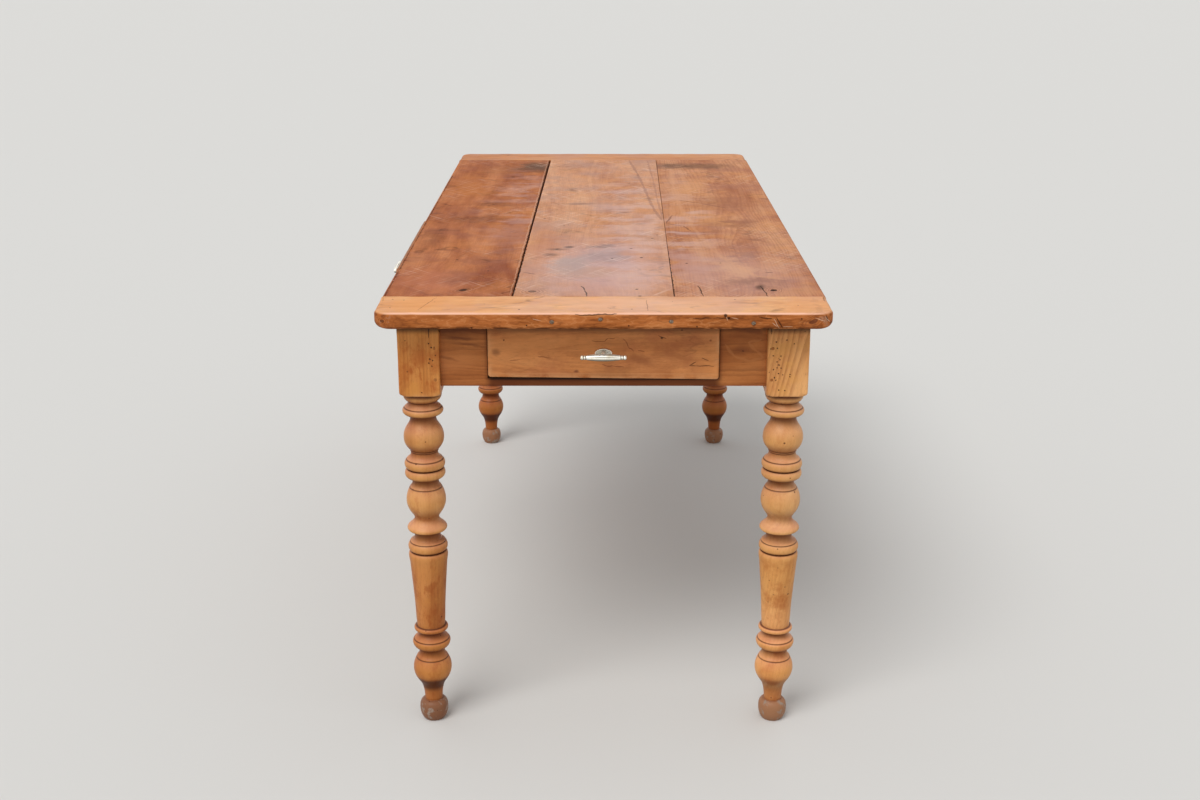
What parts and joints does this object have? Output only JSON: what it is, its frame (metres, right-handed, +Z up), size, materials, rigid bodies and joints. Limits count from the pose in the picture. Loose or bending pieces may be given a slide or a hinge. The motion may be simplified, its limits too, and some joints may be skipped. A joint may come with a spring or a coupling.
{
  "type": "kitchen table with drawers",
  "caption": "Long farmhouse kitchen table with turned legs, a plank top between breadboard ends, a drawer in one end and a drawer in one long side, each with a bar pull.",
  "frame": {"origin": "on the floor, under the middle of the top", "axes": "+X across the table to the right when facing the end drawer, +Y along the table from the end drawer to the far end, +Z up"},
  "size_m": [0.779, 1.615, 0.76],
  "materials": {
    "top_wood": "waxed reddish cherry boards with dark knots and worn patches",
    "end_wood": "waxed honey-brown end boards, grain across the table",
    "leg_wood": "waxed honey-brown turned wood, darker in the grooves, with small wormholes",
    "apron_wood": "waxed dark reddish brown",
    "drawer_front_wood": "waxed mid brown with worn lighter edges",
    "inner_wood": "plain unwaxed pale wood, aged",
    "peg_wood": "brown round pegs, end grain outwards",
    "iron": "dark iron, dull",
    "handle_metal": "polished pale brass with a nickel tone"
  },
  "bodies": {
    "table_frame": {"leg_front_left": "leg_wood", "leg_front_right": "leg_wood", "leg_rear_right": "leg_wood", "leg_rear_left": "leg_wood", "tenon_pegs": "peg_wood", "apron_front": "apron_wood", "apron_right": "apron_wood", "apron_rear": "apron_wood", "apron_left": "apron_wood", "top_board_left": "top_wood", "top_board_centre": "top_wood", "top_board_right": "top_wood", "breadboard_front": "end_wood", "breadboard_rear": "end_wood", "breadboard_nails": "iron", "top_buttons": "inner_wood", "button_screws": "iron", "cross_rail_front": "inner_wood", "cross_rail_rear": "inner_wood", "end_drawer_runner_left": "inner_wood", "end_drawer_guide_left": "inner_wood", "end_drawer_runner_right": "inner_wood", "end_drawer_guide_right": "inner_wood", "end_drawer_stops": "inner_wood", "side_drawer_runner_front": "inner_wood", "side_drawer_runner_rear": "inner_wood", "side_drawer_stops": "inner_wood"},
    "end_drawer": {"end_drawer_front": "drawer_front_wood", "end_drawer_side_left": "inner_wood", "end_drawer_side_right": "inner_wood", "end_drawer_bottom": "inner_wood", "end_drawer_back": "inner_wood", "end_drawer_handle_bar": "handle_metal", "end_drawer_handle_post": "handle_metal", "end_drawer_handle_rosette": "handle_metal", "end_drawer_handle_nut": "iron"},
    "side_drawer": {"side_drawer_front": "drawer_front_wood", "side_drawer_side_left": "inner_wood", "side_drawer_side_right": "inner_wood", "side_drawer_bottom": "inner_wood", "side_drawer_back": "inner_wood", "side_drawer_handle_bar": "handle_metal", "side_drawer_handle_post": "handle_metal", "side_drawer_handle_rosette": "handle_metal", "side_drawer_handle_nut": "iron"}
  },
  "joints": [
    {"name": "end_drawer_slide", "type": "slide", "parent": "table_frame", "child": "end_drawer", "axis": [0, -1, 0], "range_m": [0, 0.24]},
    {"name": "side_drawer_slide", "type": "slide", "parent": "table_frame", "child": "side_drawer", "axis": [-1, 0, 0], "range_m": [-0.05, 0.27]}
  ]
}
